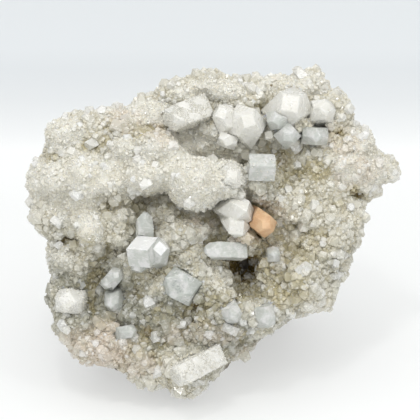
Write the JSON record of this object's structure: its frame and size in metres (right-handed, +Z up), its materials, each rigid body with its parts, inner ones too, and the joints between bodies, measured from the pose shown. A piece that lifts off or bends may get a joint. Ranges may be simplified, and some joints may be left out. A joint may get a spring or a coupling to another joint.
{
  "type": "apophyllite cluster",
  "caption": "Mineral specimen: clear and milky apophyllite crystals and a peach stilbite crystal on a rock plate with a sugary drusy crust, leaning back on its flat base.",
  "frame": {"origin": "centre of the bounding box at the floor, under the flat base", "axes": "+X across the crystal face to the viewer's right, -Y towards the viewer in front of the crystal face, +Z up"},
  "size_m": [0.126, 0.0924, 0.1033],
  "materials": {
    "drusy_crust": "sugary drusy crust of fine glittering grains over grey-brown rock",
    "apophyllite_clear": "clear to faintly bluish crystal, glassy faces, partly frosted",
    "apophyllite_milky": "milky white crystal with pearly faces",
    "stilbite": "peach, satin to pearly"
  },
  "bodies": {
    "root": {"matrix": "drusy_crust", "crystals_left_clear": "apophyllite_clear", "crystal_front_frosted": "apophyllite_clear", "crystal_flat_glassy": "apophyllite_clear", "crystals_upper_right_clear": "apophyllite_clear", "crystal_upper_right_square": "apophyllite_clear", "crystal_upright_clear": "apophyllite_clear", "crystals_lower_left_clear": "apophyllite_clear", "crystal_lower_left_blue": "apophyllite_clear", "crystal_lower_glassy": "apophyllite_clear", "crystal_right_blue": "apophyllite_clear", "crystal_low_right_white": "apophyllite_clear", "crystal_low_right_grey": "apophyllite_clear", "crystal_centre_white": "apophyllite_milky", "crystals_top_milky": "apophyllite_milky", "crystals_upper_right_milky": "apophyllite_milky", "crystal_right_pale": "apophyllite_milky", "crystal_roll_end": "apophyllite_milky", "crystal_upper_left_coated": "apophyllite_milky", "crystal_bottom_silky": "apophyllite_milky", "crystal_left_milky": "apophyllite_milky", "stilbite_peach": "stilbite"}
  },
  "joints": []
}
